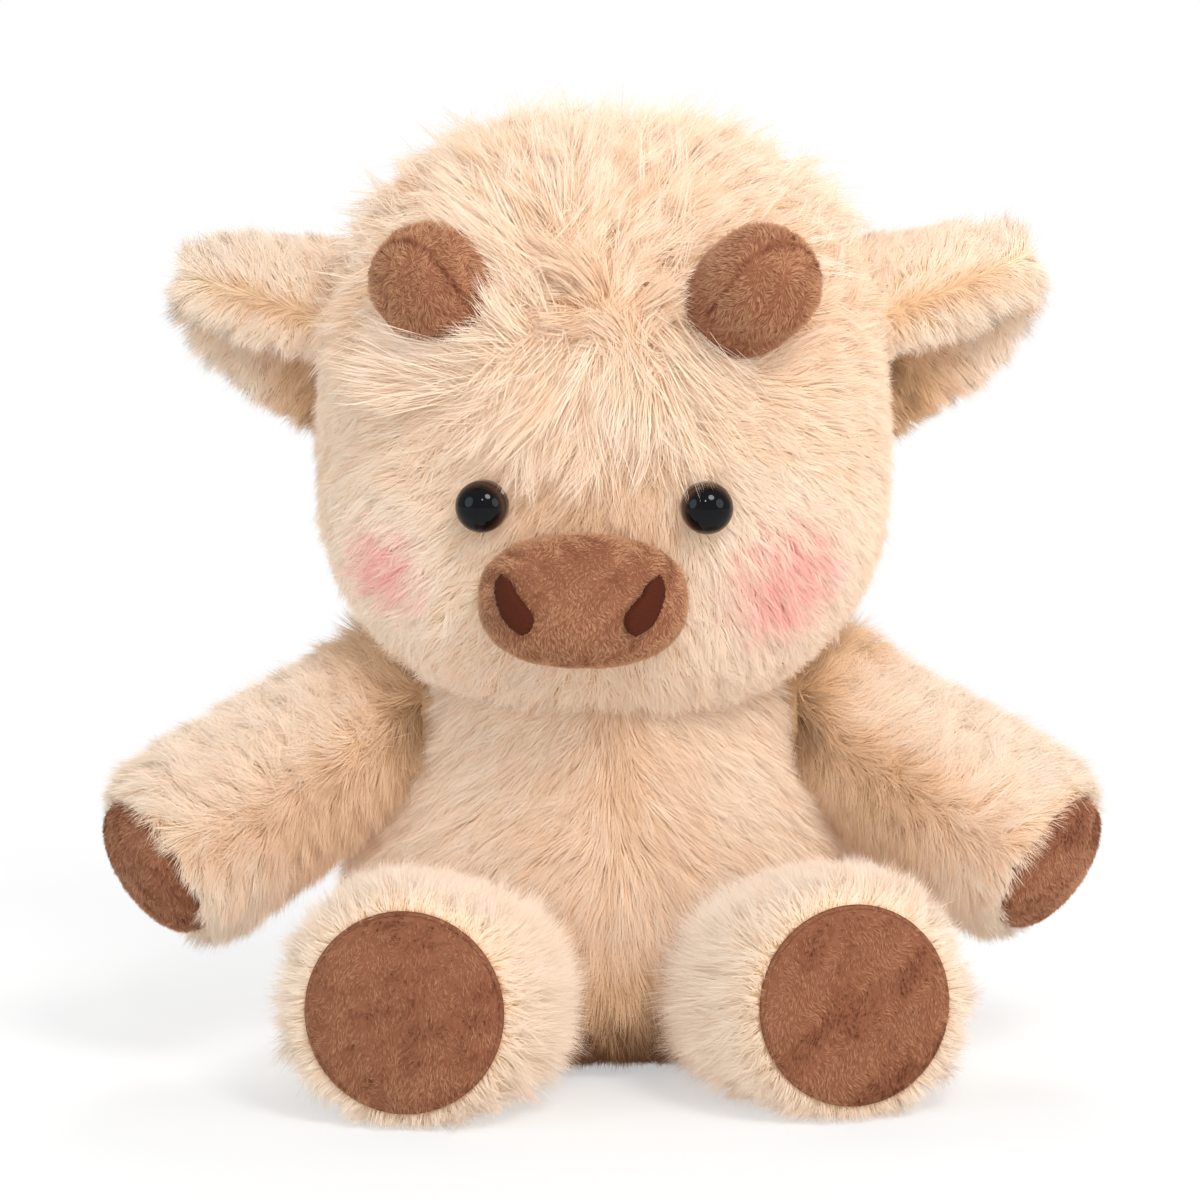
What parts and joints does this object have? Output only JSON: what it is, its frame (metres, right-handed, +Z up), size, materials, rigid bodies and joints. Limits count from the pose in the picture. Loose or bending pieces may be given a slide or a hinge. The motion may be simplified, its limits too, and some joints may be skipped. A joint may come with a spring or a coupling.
{
  "type": "plush cow",
  "caption": "Seated plush cow in long cream fur with brown horns, muzzle and pads; head, ears, arms, legs and tail bend at their seams.",
  "frame": {"origin": "middle of the flat seat under the torso", "axes": "+Z up from the seat, -Y to the front where the face and the legs point, +X to the cow's own left"},
  "size_m": [0.2468, 0.1801, 0.2335],
  "materials": {
    "cream_fur": "fluffy cream pile with tan depths",
    "long_fur": "long shaggy cream pile",
    "brown_plush": "short brown pile",
    "dark_thread": "satin-stitched dark brown thread",
    "black_plastic": "polished black",
    "washer_plastic": "plain white",
    "fibre_fill": "white polyester fibre",
    "pouch_cloth": "plain woven cloth"
  },
  "bodies": {
    "torso": {"torso_cover": "cream_fur", "torso_filling": "fibre_fill", "pellet_pouch": "pouch_cloth"},
    "neck": {"neck_tube": "cream_fur"},
    "head": {"head_cover": "cream_fur", "head_filling": "fibre_fill", "forelock": "long_fur", "muzzle_cover": "brown_plush", "muzzle_filling": "fibre_fill", "nostril_left": "dark_thread", "nostril_right": "dark_thread", "eye_left": "black_plastic", "eye_right": "black_plastic", "eye_washer_left": "washer_plastic", "eye_washer_right": "washer_plastic", "horn_cover_left": "brown_plush", "horn_cover_right": "brown_plush", "horn_filling_left": "fibre_fill", "horn_filling_right": "fibre_fill"},
    "arm_left": {"arm_cover_left": "cream_fur", "arm_filling_left": "fibre_fill", "paw_pad_left": "brown_plush"},
    "leg_left": {"leg_cover_left": "cream_fur", "leg_filling_left": "fibre_fill", "sole_pad_left": "brown_plush"},
    "ear_left": {"ear_left": "cream_fur"},
    "arm_right": {"arm_cover_right": "cream_fur", "arm_filling_right": "fibre_fill", "paw_pad_right": "brown_plush"},
    "leg_right": {"leg_cover_right": "cream_fur", "leg_filling_right": "fibre_fill", "sole_pad_right": "brown_plush"},
    "ear_right": {"ear_right": "cream_fur"},
    "tail": {"tail_cover": "cream_fur", "tail_tuft": "long_fur"}
  },
  "joints": [
    {"name": "head_turn", "type": "hinge", "parent": "torso", "child": "neck", "pos_m": [0, 0, 0.096], "axis": [0, 0, 1], "range_deg": [-15, 15], "stiffness_Nm_per_rad": 0.6},
    {"name": "head_nod", "type": "hinge", "parent": "neck", "child": "head", "pos_m": [0, 0, 0.096], "axis": [1, 0, 0], "range_deg": [-8, 8], "stiffness_Nm_per_rad": 2},
    {"name": "shoulder_left", "type": "hinge", "parent": "torso", "child": "arm_left", "pos_m": [0.05, 0, 0.088], "axis": [1, 0, 0], "range_deg": [-35, 35], "stiffness_Nm_per_rad": 0.15},
    {"name": "hip_left", "type": "hinge", "parent": "torso", "child": "leg_left", "pos_m": [0.038, -0.022, 0.021], "axis": [1, 0, 0], "range_deg": [-20, 10], "stiffness_Nm_per_rad": 0.4},
    {"name": "ear_flap_left", "type": "hinge", "parent": "head", "child": "ear_left", "pos_m": [0.06857, -0.00499, 0.186], "axis": [0, 0, 1], "range_deg": [-18, 18], "stiffness_Nm_per_rad": 0.03},
    {"name": "shoulder_right", "type": "hinge", "parent": "torso", "child": "arm_right", "pos_m": [-0.05, 0, 0.088], "axis": [1, 0, 0], "range_deg": [-35, 35], "stiffness_Nm_per_rad": 0.15},
    {"name": "hip_right", "type": "hinge", "parent": "torso", "child": "leg_right", "pos_m": [-0.038, -0.022, 0.021], "axis": [1, 0, 0], "range_deg": [-20, 10], "stiffness_Nm_per_rad": 0.4},
    {"name": "ear_flap_right", "type": "hinge", "parent": "head", "child": "ear_right", "pos_m": [-0.06753, 0.01293, 0.186], "axis": [0, 0, 1], "range_deg": [-18, 18], "stiffness_Nm_per_rad": 0.03},
    {"name": "tail_swing", "type": "hinge", "parent": "torso", "child": "tail", "pos_m": [0, 0.0503, 0.026], "axis": [0, 0, 1], "range_deg": [-20, 20], "stiffness_Nm_per_rad": 0.01}
  ]
}
